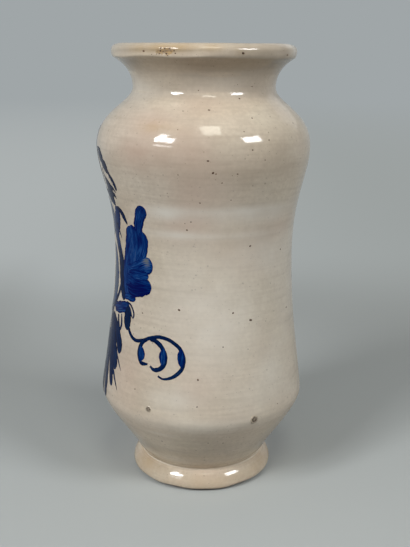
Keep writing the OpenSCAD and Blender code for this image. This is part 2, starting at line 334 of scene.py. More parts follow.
class Wire:
    """What a shader node gives. Its arithmetic adds nodes, and takes wires and plain numbers."""

    def __init__(self, socket):
        self.socket = socket
        self.tree = socket.id_data

    def __add__(self, other):
        return figure("ADD", self, other)

    def __radd__(self, other):
        return figure("ADD", other, self)

    def __sub__(self, other):
        return figure("SUBTRACT", self, other)

    def __rsub__(self, other):
        return figure("SUBTRACT", other, self)

    def __mul__(self, other):
        return figure("MULTIPLY", self, other)

    def __truediv__(self, other):
        return figure("DIVIDE", self, other)

    def held(self):
        """The result of arithmetic held between 0 and 1."""
        self.socket.node.use_clamp = True
        return self

    def spread(self, low, high, to_low=0.0, to_high=1.0):
        """Maps low..high to to_low..to_high with soft ends."""
        return put(self.tree, "MapRange", {"interpolation_type": "SMOOTHSTEP"}, Value=self, From_Min=low,
                   From_Max=high, To_Min=to_low, To_Max=to_high)[0]

    def blend(self, under, over):
        """This share of one colour laid over another."""
        made = put(self.tree, "Mix", {"data_type": "RGBA"})
        for number, value in ((0, self), (6, under), (7, over)):
            feed(made.node.inputs[number], value)
        return made[2]

    def bump(self, strength, distance):
        """The normal of a surface with this relief, whose depth is in metres."""
        return put(self.tree, "Bump", Height=self, Strength=strength, Distance=distance)["Normal"]


class Outputs:
    """A shader node's outputs as wires, by name or number."""

    def __init__(self, node):
        self.node = node

    def __getitem__(self, which):
        return Wire(self.node.outputs[which])


def feed(socket, value):
    """Sets a socket to a value, or links a wire to it."""
    if isinstance(value, Wire):
        value.tree.links.new(value.socket, socket)
    else:
        socket.default_value = value


def feed_all(node, **inputs):
    """Feeds a node's inputs, named with _ for each blank."""
    for name, value in inputs.items():
        feed(node.inputs[name.replace("_", " ")], value)


def put(tree, kind, settings=None, **inputs):
    """Adds a shader node with its settings and inputs."""
    made = tree.nodes.new("ShaderNode" + kind)
    for name, value in (settings or {}).items():
        setattr(made, name, value)
    feed_all(made, **inputs)
    return Outputs(made)


def figure(operation, first, second=0.0):
    """One step of arithmetic with at least one wire."""
    tree = first.tree if isinstance(first, Wire) else second.tree
    made = put(tree, "Math", {"operation": operation})
    feed(made.node.inputs[0], first)
    feed(made.node.inputs[1], second)
    return made[0]


def attribute(tree, name):
    """What mark stored on the mesh under a name."""
    return put(tree, "Attribute", {"attribute_name": name})["Fac"]


def object_place(tree):
    """The place on the jar, in metres."""
    return put(tree, "TexCoord")["Object"]


def new_group(name, output, **inputs):
    """A shader group with number inputs, given with their usual values, and one number output."""
    tree = bpy.data.node_groups.new(name, "ShaderNodeTree")
    for label, usual in inputs.items():
        socket = tree.interface.new_socket(name=label.replace("_", " "), in_out="INPUT",
                                           socket_type="NodeSocketFloat")
        socket.default_value = usual
    tree.interface.new_socket(name=output, in_out="OUTPUT", socket_type="NodeSocketFloat")
    given = Outputs(tree.nodes.new("NodeGroupInput"))
    return tree, given, tree.nodes.new("NodeGroupOutput").inputs[0]


def effect(tree, group, **values):
    """Places a group in a material with its own values, and gives its output."""
    return put(tree, "Group", {"node_tree": group}, **values)[0]


def throwing_streaks_group():
    """Fine level streaks that the wheel drew round the jar, slightly slanted."""
    tree, given, out = new_group("throwing_streaks", "Streak", Per_metre=400.0, Round=14.0, Slant=0.03,
                                 Seed=0.0)
    place = put(tree, "SeparateXYZ", Vector=object_place(tree))
    height = place["Z"] + place["Y"] * given["Slant"]
    stretched = put(tree, "CombineXYZ", X=place["X"] * given["Round"], Y=place["Y"] * given["Round"],
                    Z=height * given["Per metre"])
    grain = put(tree, "TexNoise", {"noise_dimensions": "4D"}, Vector=stretched[0], W=given["Seed"],
                Scale=1.0, Detail=3.0, Roughness=0.55)
    feed(out, grain["Fac"])
    return tree


def kiln_clouds_group():
    """Soft clouds, as the glaze takes colour from the fire."""
    tree, given, out = new_group("kiln_clouds", "Cloud", Per_metre=20.0, Contrast=0.2, Seed=0.0)
    grain = put(tree, "TexNoise", {"noise_dimensions": "4D"}, Vector=object_place(tree), W=given["Seed"],
                Scale=given["Per metre"], Detail=2.5, Roughness=0.5)
    feed(out, grain["Fac"].spread(0.5 - given["Contrast"], 0.5 + given["Contrast"]))
    return tree


def pinholes_group():
    """Small round spots, strewn at random: a share of the cells holds one."""
    tree, given, out = new_group("pinholes", "Spot", Per_metre=200.0, Share=0.3, Size=0.2, Seed=0.0)
    cells = put(tree, "TexVoronoi", {"voronoi_dimensions": "4D"}, Vector=object_place(tree), W=given["Seed"],
                Scale=given["Per metre"])
    lot = put(tree, "SeparateColor", Color=cells["Color"])
    chosen = figure("LESS_THAN", lot["Red"], given["Share"])
    reach = given["Size"] * (lot["Green"] + 0.4)
    inside = (1.0 - cells["Distance"] / reach).held()
    feed(out, inside.spread(0.0, 0.5) * chosen)
    return tree


STREAKS, CLOUDS, PINHOLES = throwing_streaks_group(), kiln_clouds_group(), pinholes_group()

CREAM = linear(231, 223, 207)
YELLOWED = linear(230, 217, 191)
BLUSHED = linear(206, 178, 160)
# Whitish veil in the glaze, also the colour of painted highlights and lit zones
VEILED_AND_LIT = linear(234, 229, 219)
STAINED = linear(192, 160, 112)
# Darker glaze of the streaks and mottling, also the colour of painted shade
STREAK_AND_SHADE_DARK = linear(180, 165, 146)
SPECK_BROWN = linear(104, 86, 70)
WORN_BROWN = linear(150, 128, 100)
CLAY = linear(176, 132, 92)
CLAY_DARK = linear(122, 84, 56)
PIT_DARK = linear(52, 38, 28)

GLAZE_IOR = 1.58
# Clouds of the kiln: how much finer than the glaze asks, contrast, seed, strength and tint
KILN_TINTS = [(1.0, 0.22, 0.0, 0.6, YELLOWED), (1.4, 0.18, 4.3, 0.3, BLUSHED)]
# Mottling: clouds per metre, then the same
MOTTLING = [(85.0, 0.25, 6.1, 0.28, STREAK_AND_SHADE_DARK), (430.0, 0.3, 8.7, 0.34, STREAK_AND_SHADE_DARK)]
# Freckles: cells per metre, the share that holds one, size and strength
FRECKLES = [(420.0, 0.6, 0.22, 0.44), (700.0, 0.8, 0.22, 0.46), (230.0, 0.15, 0.14, 0.6)]
# Tints laid on the glaze in patches, some of them painted shade and painted light: what mark calls them, the
# colour, and how far clouds break them up
PATCH_TINTS = [
    ("blush", BLUSHED, 0.4), ("shade_and_thin_glaze", STREAK_AND_SHADE_DARK, 0.4), ("veil_and_painted_light", VEILED_AND_LIT, 0.35), ("stain", STAINED, 0.6),
]
# Heights in metres between which dust in the groove over the foot comes and goes, and how dull it is
DUST_FROM, DUST_FULL, DUST_THINS, DUST_TO = 0.0105, 0.0125, 0.0145, 0.018
DUST_DULL = 0.4
# Heights in metres from which and at which the clay darkens towards its resting edge, with dirt and painted
# contact shadow, and how much
SOIL_AND_SHADE_TO, SOIL_AND_SHADE_FULL, SOIL_AND_SHADE_DARK = 0.0018, 0.0002, 0.6


def new_material(name):
    """An empty material with its shader, and the tree to build in."""
    material = bpy.data.materials.new(name)
    material.use_nodes = True
    return material, material.node_tree, material.node_tree.nodes["Principled BSDF"]


def glaze_colour(tree, clouds_per_metre, seed):
    """Cream glaze with yellow and pink clouds, mottling, broken level streaks and small freckles."""
    colour = CREAM
    kiln = [(clouds_per_metre * finer, *rest) for finer, *rest in KILN_TINTS]
    for per_metre, contrast, shift, strength, tint in kiln + MOTTLING:
        cloud = effect(tree, CLOUDS, Per_metre=per_metre, Contrast=contrast, Seed=seed + shift)
        colour = (cloud * strength).blend(colour, tint)
    fine = effect(tree, STREAKS, Per_metre=520.0, Round=34.0, Slant=0.02, Seed=seed)
    broad = effect(tree, STREAKS, Per_metre=100.0, Round=11.0, Slant=0.02, Seed=seed + 2.0)
    drawn = fine.spread(0.4, 0.76) * 0.3 + broad.spread(0.46, 0.72) * 0.36
    colour = drawn.blend(colour, STREAK_AND_SHADE_DARK)
    for per_metre, share, size, strength in FRECKLES:
        freckle = effect(tree, PINHOLES, Per_metre=per_metre, Share=share, Size=size, Seed=seed)
        colour = (freckle * strength).blend(colour, SPECK_BROWN)
    return colour


def outer_glaze_material():
    """Glossy cream glaze with patches of tint, painted shade and painted light, worn through on the lip and
    dusty in the groove.
    """
    material, tree, shader = new_material("outer_tin_glaze")
    colour = glaze_colour(tree, 18.0, 1.0)
    patch = effect(tree, CLOUDS, Per_metre=90.0, Contrast=0.35, Seed=6.0)
    # Patches of tint, among them painted shade, painted highlights and a painted reflection
    for name, tint, rough in PATCH_TINTS:
        broken = patch * rough + (1 - rough)
        colour = (attribute(tree, name) * broken).held().blend(colour, tint)
    grit = effect(tree, CLOUDS, Per_metre=900.0, Contrast=0.2, Seed=2.0)
    pits = effect(tree, PINHOLES, Per_metre=620.0, Share=0.8, Size=0.3, Seed=3.0)
    bare = pits.blend(grit.blend(WORN_BROWN, STAINED), PIT_DARK)
    worn = (attribute(tree, "chip") + grit * 0.3).spread(0.45, 0.75)
    haze = effect(tree, CLOUDS, Per_metre=140.0, Contrast=0.3, Seed=9.0)
    height = put(tree, "SeparateXYZ", Vector=object_place(tree))["Z"]
    dusty = height.spread(DUST_FROM, DUST_FULL) * height.spread(DUST_TO, DUST_THINS)
    dull = haze.spread(0.0, 1.0, 0.07, 0.12) + dusty * DUST_DULL
    peel = effect(tree, CLOUDS, Per_metre=420.0, Contrast=0.4, Seed=11.0)
    lines = effect(tree, STREAKS, Per_metre=330.0, Round=24.0, Slant=0.02, Seed=5.0)
    relief = peel * 0.35 + lines * 0.6 - pits * worn * 2.0
    feed_all(shader, Base_Color=worn.blend(colour, bare), Roughness=dull + worn * 0.6, IOR=GLAZE_IOR,
             Normal=relief.bump(0.12, 0.0006))
    return material


def inner_glaze_material():
    """Cream glaze inside, thin and stained in places."""
    material, tree, shader = new_material("inner_tin_glaze")
    colour = glaze_colour(tree, 26.0, 21.0)
    thin = effect(tree, CLOUDS, Per_metre=55.0, Contrast=0.18, Seed=31.0)
    lines = effect(tree, STREAKS, Per_metre=260.0, Round=8.0, Slant=0.02, Seed=25.0)
    feed_all(shader, Base_Color=(thin * 0.3).blend(colour, STAINED), IOR=GLAZE_IOR,
             Roughness=thin.spread(0.0, 1.0, 0.12, 0.24), Normal=lines.bump(0.2, 0.0008))
    return material


def earthenware_material(name, pale, dark, seed):
    """Bare fired clay: matt, gritty, marked by the turning tool."""
    material, tree, shader = new_material(name)
    cloud = effect(tree, CLOUDS, Per_metre=60.0, Contrast=0.25, Seed=seed)
    drawn = effect(tree, STREAKS, Per_metre=900.0, Round=20.0, Slant=0.0, Seed=seed)
    grit = effect(tree, PINHOLES, Per_metre=700.0, Share=0.35, Size=0.3, Seed=seed)
    toned = (cloud * 0.6).blend(pale, dark)
    toned = (drawn.spread(0.45, 0.7) * 0.35).blend(toned, dark)
    toned = (grit * 0.7).blend(toned, PIT_DARK)
    height = put(tree, "SeparateXYZ", Vector=object_place(tree))["Z"]
    # Darker towards the resting edge: dirt and painted contact shadow
    soil_and_contact_shade = height.spread(SOIL_AND_SHADE_TO, SOIL_AND_SHADE_FULL) * SOIL_AND_SHADE_DARK
    feed_all(shader, Base_Color=soil_and_contact_shade.blend(toned, PIT_DARK), Roughness=cloud.spread(0.0, 1.0, 0.75, 0.92),
             Normal=(drawn - grit * 0.8).bump(0.4, 0.0006))
    return material


NAVY = linear(0, 9, 80)
COBALT = linear(0, 43, 109)
BRIGHT_COBALT = linear(24, 76, 141)
THIN_COBALT = linear(106, 113, 122)
INK = linear(8, 20, 42)
# Waves of the brush's bristles for each mm across and along a stroke
BRISTLES_ACROSS, BRISTLES_ALONG = 2.4, 0.11
PAINT_SPECULAR = 0.05


def cobalt_material():
    """Cobalt brushwork sunk into the glaze: bristle streaks, pooled edges and thin places."""
    material, tree, shader = new_material("cobalt_brushwork")
    edge = attribute(tree, "edge")
    place = put(tree, "CombineXYZ", X=attribute(tree, "across") * BRISTLES_ACROSS,
                Y=attribute(tree, "along") * BRISTLES_ALONG, Z=attribute(tree, "brush"))
    hair = put(tree, "TexNoise", Vector=place[0], Scale=1.0, Detail=3.0, Roughness=0.6)["Fac"]
    blot = effect(tree, CLOUDS, Per_metre=170.0, Contrast=0.3, Seed=41.0)
    paint = attribute(tree, "load") + hair.spread(0.28, 0.72, -0.48, 0.3)
    paint = paint + edge.spread(0.62, 1.0) * 0.34 + blot.spread(0.0, 1.0, -0.1, 0.1)
    ramp = put(tree, "ValToRGB", Fac=paint * 0.7)
    stops = ramp.node.color_ramp.elements
    stops[0].position, stops[0].color = 0.1, THIN_COBALT
    stops[1].position, stops[1].color = 0.92, NAVY
    for position, colour in ((0.42, BRIGHT_COBALT), (0.64, COBALT)):
        stops.new(position).color = colour
    inked = (attribute(tree, "ink") + edge.spread(0.78, 1.0, 0.0, 0.3)).held()
    feed_all(shader, Base_Color=inked.blend(ramp["Color"], INK), Roughness=blot.spread(0.0, 1.0, 0.08, 0.15),
             IOR=GLAZE_IOR, Specular_IOR_Level=PAINT_SPECULAR, Normal=paint.bump(0.08, 0.0004))
    return material


def speck_material():
    """Iron specks that came through the glaze: brown to near black, sunk in a glossy skin."""
    material, tree, shader = new_material("iron_speck")
    tone = attribute(tree, "dark") + effect(tree, CLOUDS, Per_metre=1500.0, Seed=51.0)
    feed_all(shader, Base_Color=(tone * 0.5).held().blend(CLAY_DARK, PIT_DARK),
             Roughness=tone.spread(0.0, 2.0, 0.2, 0.45))
    return material


BLISTER_PALE = linear(164, 152, 136)
BLISTER_GREY = linear(134, 120, 104)
BLISTER_DARK = linear(84, 72, 60)
BLISTER_RIM = linear(186, 174, 156)


def blister_material():
    """A blister that burst in the kiln: a grey-brown floor inside a rim of glaze."""
    material, tree, shader = new_material("burst_blister")
    ring = attribute(tree, "ring")
    grit = effect(tree, CLOUDS, Per_metre=1300.0, Contrast=0.25, Seed=61.0)
    groove = ring.spread(0.25, 0.6) * ring.spread(0.7, 0.95, 1.0, 0.0)
    colour = groove.blend(grit.blend(BLISTER_PALE, BLISTER_GREY), BLISTER_DARK)
    feed_all(shader, Base_Color=ring.spread(0.8, 1.1).blend(colour, BLISTER_RIM),
             Roughness=ring.spread(0.5, 1.0, 0.5, 0.12), Normal=grit.bump(0.3, 0.0004))
    return material


OUTER_GLAZE, INNER_GLAZE = outer_glaze_material(), inner_glaze_material()
BARE_CLAY = earthenware_material("bare_earthenware", CLAY, CLAY_DARK, 71.0)
LUTING_SLIP = earthenware_material("luting_slip", CLAY_DARK, PIT_DARK, 81.0)
COBALT_PAINT, IRON, BLISTER = cobalt_material(), speck_material(), blister_material()


# The glaze outside

# Soft patches as the photograph shows them: pixel, half width and half height in mm, strength. The darkening
# patches are painted shade on and under the lip and on and below the shoulder, with darker patches on the
# foot and level bands of thinner glaze over the throwing marks. The whitish ones are partly a veil in the
# glaze and
# partly painted light: a highlight low on the belly, lit zones on the neck and belly, and a reflection at the
# lip's right end. Chip is where it is worn off the lip.
PATCHES = {
    "blush": [
        (138, 152, 20, 12, 0.75), (196, 196, 16, 26, 0.55), (125, 376, 14, 16, 0.5), (196, 388, 11, 14, 0.3),
        (205, 102, 12, 6, 0.3), (150, 120, 14, 5, 0.4), (186, 226, 14, 6, 0.45), (160, 130, 18, 8, 0.2),
        (205, 470, 10, 6, 0.25), (280, 225, 12, 6, 0.35), (245, 250, 22, 14, 0.2), (190, 152, 14, 12, 0.3),
    ],
    # Painted shade on and under the lip and on and below the shoulder; darker patches on the foot; thin-glaze
    # bands
    "shade_and_thin_glaze": [
        (245, 172, 44, 4, 0.4), (235, 186, 40, 5, 0.2), (232, 230, 30, 2, 0.2), (285, 150, 12, 10, 0.4),
        (125, 48, 12, 5, 0.5), (150, 48, 16, 5, 0.3), (235, 48, 14, 5, 0.2), (265, 48, 20, 6, 0.8),
        (285, 50, 5, 6, 0.6), (150, 459, 13, 6, 0.6), (258, 458, 10, 5, 0.35), (285, 115, 14, 12, 0.35),
        (240, 150, 40, 8, 0.25), (152, 447, 14, 5, 0.5),
    ],
    # A whitish veil in the glaze, and painted light: a highlight low on the belly, lit zones, the lip end's
    # reflection
    "veil_and_painted_light": [
        (262, 395, 24, 14, 0.35), (285, 300, 14, 40, 0.35), (160, 434, 12, 0.9, 0.5), (140, 86, 16, 7, 0.3),
        (225, 82, 20, 7, 0.3), (275, 360, 16, 20, 0.4), (163, 213, 12, 4, 0.9), (235, 211, 40, 2.4, 0.35),
        (175, 235, 16, 2.4, 0.6), (235, 236, 36, 2, 0.3), (265, 215, 30, 7, 0.3), (192, 310, 24, 50, 0.35),
        (294, 49, 2.5, 5, 0.7), (224, 340, 16, 18, 0.35), (266, 252, 20, 12, 0.5), (172, 402, 16, 8, 0.5),
        (250, 214, 34, 5, 0.4), (235, 300, 40, 45, 0.3), (195, 429, 45, 5, 0.5),
    ],
    "stain": [
        (140, 49, 11, 3, 0.5), (166, 48, 10, 3, 0.6), (190, 47, 12, 3, 0.5), (211, 47, 6, 2.5, 0.4),
        (155, 127, 12, 3, 0.4), (300, 52, 3, 3, 0.2), (152, 460, 14, 6, 0.4), (258, 460, 12, 6, 0.3),
    ],
    "chip": [
        (167, 51, 5.2, 2.6, 0.75), (158, 52, 2.4, 1.4, 0.6), (143.3, 51, 0.8, 0.9, 0.8),
        (243.3, 53.3, 0.7, 0.7, 0.8), (188, 49, 3, 1.4, 0.4), (287, 55, 0.6, 0.8, 0.8),
    ],
}
# Tints that run all round, under the lip, in the neck and on the foot: height, reach and strength. The
# darkening under the lip, in the neck and in the groove over the foot is painted shade; the foot's stain is
# its own colour.
TINT_BANDS = {
    "shade_and_thin_glaze": [(259, 4.5, 0.5), (251, 5.5, 0.4), (243, 4, 0.35), (13.5, 1.6, 0.5)],
    "stain": [(5, 8, 0.34)],
}

SEGMENTS = 288
GLAZE_DEPTH = 0.45
# Every so many rings of the skin, one ring of the plain face against the clay
BACK_STEP = 6
CHIP_DEPTH = 0.3
CRUMBLE_LEAST, CRUMBLE_SWING = 0.75, 0.25
# The wavering lower end of the glaze: how far it wanders and how far up that reaches, in mm
HEM_WANDER, HEM_REACH = 0.45, 1.5
GLAZE_CREASE = math.radians(48)


def patch_strength(name, angle, height, radius):
    """Sum of the patches and bands of a name at each place of the skin."""
    total = np.zeros(np.broadcast(angle, height).shape)
    for px, py, half_width, half_height, strength in PATCHES[name]:
        at_angle, at_height = seen_at(px, py)
        aside = np.radians(turn_gap(angle, at_angle)) * radius
        total += strength * bell(aside, half_width) * bell(height - at_height, half_height)
    for at, reach, strength in TINT_BANDS.get(name, []):
        total += strength * bell(height - at, reach)
    return total


def outer_glaze():
    """The outer coat as one closed shell: a worked skin outside, and a plain face against the clay."""
    angle = np.arange(SEGMENTS)[None, :] * 360 / SEGMENTS
    height, radius, slope = (v[:, None] for v in (OUT_Z, OUT_R, OUT_SLOPE))
    fields = {name: patch_strength(name, angle, height, radius) for name in PATCHES}
    crumble = CRUMBLE_LEAST + CRUMBLE_SWING * swing(CHIP_CRUMBLE, angle, height)
    skin = jar_point(angle, height, radius, slope, -CHIP_DEPTH * np.clip(fields["chip"], 0, 1) * crumble)
    hem = bell(height - OUT_Z[0], HEM_REACH)
    skin[..., 2] += HEM_WANDER * MM * hem * (1 + swing(HEM_WAVE, angle, 0 * height))
    back_rows = [i for i in range(len(OUT_Z)) if i % BACK_STEP == 0 or i == len(OUT_Z) - 1]
    back = jar_point(angle, height, radius, slope, -GLAZE_DEPTH - skin_rise(angle, height))[back_rows]
    back[0, :, 2] = skin[0, :, 2]
    points = np.concatenate([skin, back[::-1]])
    faces = ring_faces(len(points), SEGMENTS, True).tolist()
    piece = new_piece("outer_glaze_skin", points.reshape(-1, 3), faces, OUTER_GLAZE)
    piece.data.set_sharp_from_angle(angle=GLAZE_CREASE)
    unseen = np.zeros((len(back_rows), SEGMENTS))
    for name, strength in fields.items():
        mark(piece, name, np.concatenate([strength, unseen]))
    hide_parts("outer_glaze")


# The glaze inside

INSIDE_SEGMENTS = 144
INSIDE_DEPTH = 0.3
INSIDE_LIP_STEP, INSIDE_STEP = 0.7, 2.2
INSIDE_CREASE = math.radians(60)
FLOOR_RINGS = 12
# The thrower's coil: its pitch up the wall and out over the floor, its depth, and the depth of lumps, in mm
COIL_UP, COIL_OUT, COIL_DEPTH, INSIDE_LUMPS = 9, 8, 0.1, 0.08
LUMPS_TURNED = 40
# From how far over the floor the wall counts as such, and over how much that fades, in mm
WALL_FROM, WALL_FADE = 4, 6
# How far over the floor a ring still belongs to it, for its coil and for its depth, in mm
FLOOR_COIL, FLOOR_LEVEL = 1, 0.01


def inner_glaze():
    """The inner coat: down from the lip's crest, round the corner and over the floor to the middle."""
    wall = smooth_path(turned_outline("inner_glaze", -1),
                       lambda height, _: INSIDE_LIP_STEP if height > LIP_EDGE else INSIDE_STEP)
    floor_z, floor_r = wall[0]
    discs = np.linspace(0, 1, FLOOR_RINGS + 2)[1:-1]
    over_floor = np.stack([np.full(len(discs), floor_z), floor_r * discs], axis=1)
    rows = np.concatenate([over_floor, wall])
    angle = np.arange(INSIDE_SEGMENTS)[None, :] * 360 / INSIDE_SEGMENTS
    turn = np.radians(angle)
    height, radius = rows[:, :1], rows[:, 1:]
    coil = np.sin(2 * math.pi * (height / COIL_UP + radius / COIL_OUT + angle / 360))
    wall_only = gate(height, floor_z + WALL_FROM, LIP_EDGE, WALL_FADE)
    lumps = INSIDE_LUMPS * swing(LUMPS, angle + LUMPS_TURNED, height)
    near = radius - wall_only * (COIL_DEPTH * coil + lumps)
    up = height + (1 - wall_only) * COIL_DEPTH * (coil - 1) * (height < floor_z + FLOOR_COIL)
    visible = np.stack([near * np.sin(turn), -near * np.cos(turn), up + 0 * turn], axis=-1) * MM
    level = (height < floor_z + FLOOR_LEVEL) | (height > LIP_EDGE)
    under = height - np.where(level, INSIDE_DEPTH, 0)
    behind = radius + np.where(height < LIP_EDGE, INSIDE_DEPTH, 0)
    hidden = np.stack([behind * np.sin(turn), -behind * np.cos(turn), under + 0 * turn], axis=-1) * MM
    poles = np.array([[0, 0, visible[0, 0, 2]], [0, 0, hidden[0, 0, 2]]])
    loops = np.concatenate([visible, hidden[::-1]])
    count = len(loops) * INSIDE_SEGMENTS
    faces = ring_faces(len(loops), INSIDE_SEGMENTS, False)[:, ::-1].tolist()
    faces += fan_faces(count, 0, INSIDE_SEGMENTS, False)
    faces += fan_faces(count + 1, count - INSIDE_SEGMENTS, INSIDE_SEGMENTS, True)
    points = np.concatenate([loops.reshape(-1, 3), poles])
    piece = new_piece("inner_glaze_skin", points, faces, INNER_GLAZE)
    piece.data.set_sharp_from_angle(angle=INSIDE_CREASE)
    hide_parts("inner_glaze")


# Brushwork

# A stroke: its widest place, how the brush was used, then points as degrees from the painted front, mm above
# the waist and, where it isn't 1, the share of the width there. Each is drawn on the right half and mirrored.
SHIELD = [
    (9.0, "full", (28.3, 31.5, 0.9), (28, 26), (25.6, 20), (22.5, 15), (23, 10, 0.9), (26, 4, 0.9),
     (28.5, -2, 0.7)),
    (8.2, "dark", (25, 6, 0.7), (28.3, -2), (29.8, -10), (31.3, -18), (33.8, -26, 0.85)),
    (8.0, "wash", (0, 33, 0.25), (8, 33, 0.3), (15, 30.5, 0.6), (18.5, 25), (17.5, 18, 0.8), (14, 11, 0.4)),
    (10.0, "wash", (14, 6, 0.4), (17, 0, 0.8), (18.5, -10), (18.6, -19), (17, -27, 0.8), (11, -34, 0.4),
     (0, -39, 0.2)),
    (3.4, "line", (28, 32), (17, 37), (9, 39), (0, 39)),
    (2.6, "line", (30, -14), (27, -21), (21.5, -29.5), (13, -37), (0, -41)),
    (3.5, "dark", (29.5, 31, 0.7), (33.2, 29.2), (36.2, 26.3), (39.4, 21.8, 0.6)),
    (2.6, "tail", (25, 20), (28, 15.8), (30.5, 11.8)),
]
CREST = [
    (7.4, "full", (13.5, 65, 0.4), (18, 61.6), (21.5, 59.4), (25.4, 57.6, 0.4)),
    (7.0, "full", (20, 59, 0.5), (24.4, 55.4), (27, 52.6, 0.8), (29.4, 49.6, 0.3)),
    (3.2, "full", (27.8, 53), (29.5, 49.8), (31.4, 47.5), (32.8, 44.8), (34.2, 41.2)),
    (11.2, "full", (19, 53, 0.15), (19.4, 48.5, 0.2), (22.4, 43.4, 0.75), (23.4, 40.2), (22.8, 37),
     (20.6, 32.4, 0.5)),
    (2.6, "tail", (27.5, 43), (30.5, 41.5), (32.4, 39.6)),
    (3.2, "tail", (27, 39), (29.8, 37.8), (31.6, 35.8)),
    (2.8, "tail", (25, 35.6), (27, 34.8), (28.4, 33)),
    (4.4, "full", (8, 41), (10, 50), (9, 60), (5, 68)),
    (4.4, "full", (2, 40), (2, 52), (3, 66), (2, 76)),
]
LEAVES = [
    (8.4, "lobe", (49, 14), (49.3, 22), (51.8, 29), (55.2, 34.6)),
    (9.5, "full", (41.4, 21.3), (40.6, 15), (39.5, 8), (37.5, 0), (36, -8), (36.5, -16), (39, -23)),
    (10.0, "full", (43.2, 22.3), (45, 10), (44, 0), (43, -10), (43, -20)),
    (8.2, "full", (52, 19.5), (52.2, 12), (50, 5), (47, 0)),
    (12.0, "lobe", (39, -7), (46, -4), (53, -1), (59, 0.3)),
    (10.6, "lobe", (36, -12), (44, -13.5), (51, -13.6), (58.2, -12.9)),
    (9.0, "full", (37, -16), (44, -16.8), (54.8, -15.2)),
    (7.0, "full", (39, -8), (47, -7.5), (56, -7)),
    (4.4, "full", (45.8, -22.6), (42, -22.8), (38, -22.6), (34.5, -23.6)),
]
CUPS = [
    (7.4, "full", (20, -33), (27, -32), (34, -30), (40.5, -28.5)),
    (7.0, "dark", (39, -28), (39, -34), (39.2, -38), (39.7, -43)),
    (1.3, "line", (37, -26), (41.3, -27), (44.2, -30), (45, -33), (44.3, -34.8)),
    (1.1, "line", (39, -27.5), (41.2, -29.8), (42.6, -32.8), (44, -34.4)),
    (1.8, "line", (28, -36), (29, -41), (31.5, -45), (33, -41), (32, -35)),
]
TENDRILS = [
    (2.25, "line", (41, -41), (42.5, -43.5), (45, -46), (49, -47), (54, -45.7), (59, -43.3), (64, -41.8),
     (69, -42), (74, -44), (78, -47.5), (80, -52.3), (79.7, -57.5), (77, -62), (72.5, -65.2), (68.5, -66.2),
     (65.3, -65)),
    (2.5, "line", (57, -44), (53.7, -47), (51.8, -51), (51.7, -55), (53.7, -59.3), (58.3, -59.3)),
    (2.8, "line", (58.5, -43.7), (63, -44.6), (66.8, -47.6), (69, -52), (69, -56.5), (66.5, -60.4),
     (62.8, -61.7), (60, -60)),
    (4.8, "bead", (52.6, -49.3), (53.6, -54), (53, -58.8)),
    (4.8, "bead", (67.8, -47.7), (67.8, -53), (67.6, -58.5)),
    (4.3, "bead", (78.4, -46.8), (78.5, -52.5), (79, -58.2)),
]
HANGING = [
    (7.5, "full", (19, -37, 0.4), (25, -43, 0.9), (30.5, -50), (33, -55), (33.4, -59.8, 0.85)),
    (7.4, "full", (15, -35.5, 0.5), (20, -45), (25, -55), (28.5, -62), (30.5, -71)),
    (2.0, "tail", (30, -59), (33.5, -64), (37.5, -69.5)),
    (8.0, "full", (11, -38, 0.6), (16, -48), (20, -58), (24, -67), (27.5, -76)),
    (2.2, "tail", (28, -71), (32, -77), (35.5, -82.5)),
    (5.5, "full", (19, -60), (23, -68), (26, -76), (28, -82.5)),
    (6.8, "full", (12, -50), (16, -68), (18.5, -82), (19, -93)),
    (6.0, "full", (6, -50), (9, -66), (11, -80), (11, -94)),
    (5.5, "full", (1.5, -46), (3, -66), (3.5, -84), (3, -98)),
]
# Painted nodes in the order of painting: strokes, lowest layer, share of dark ink, seed
PAINTED = {
    "hanging_plume": (HANGING, 0, 0.7, 101),
    "shield_lines": (SHIELD, 1, 0.35, 102),
    "crest_plume": (CREST, 2, 0.8, 103),
    "leaf_cups": (CUPS, 3, 0.15, 104),
    "tendrils": (TENDRILS, 2, 0.1, 105),
    "side_leaves": (LEAVES, 4, 0.0, 106),
}
# Where the paint lies thin or thick: degrees, mm above the waist, half sizes in mm, how much is missing
THIN_PLACES = [
    (54.8, 2.5, 2.4, 3.4, 0.8), (46, -9, 8, 0.8, 0.35), (42, 14, 2.0, 8, 0.15), (44, 4, 3, 6, 0.2),
    (49, -17, 9, 5, -0.5),
]

# Spacing of a stroke's points along and across it, in mm, and the fewest points across
BRUSH_STEP, BRUSH_LANE, FEWEST_LANES = 0.7, 0.7, 5
# Lift of the first layer and of each one over it, fall of the edges, and place of the root, in mm
PAINT_LIFT, PAINT_LAYER, PAINT_FALL, PAINT_ROOT = 0.07, 0.012, 0.05, -0.06
# Share of dark ink in thin lines, in dark strokes and in the pale wash; the others have their node's
LINE_INK, DARK_INK, WASH_INK = 0.7, 0.75, 0.25
# Load of the brush: full, for the pale wash, what is spent on the way, and how far strokes differ
FULL_LOAD, WASH_LOAD, LOAD_SPENT, LOAD_VARIES = 1.06, 0.42, 0.12, 0.06
BRUSHES = 40
# Waver of a stroke's edges: share of the width, and how fast it goes for each mm
WAVER = [(0.05, 0.9), (0.03, 2.3)]
FULL_TURN = 6.28
LIGHTEST_PRESS, HARDEST_PRESS = 0.15, 1.05
# A leaning wall shifts a stroke's angle by no more than at this sine of it
LEAST_SINE = 0.45
PAINT_CREASE = math.radians(50)


def round_end(run, widest):
    """The share of its width that a stroke has where run is left to its round end."""
    return np.sqrt(np.clip(1 - np.square(np.clip(1 - run / (widest / 2), 0, 1)), 0.02, 1))


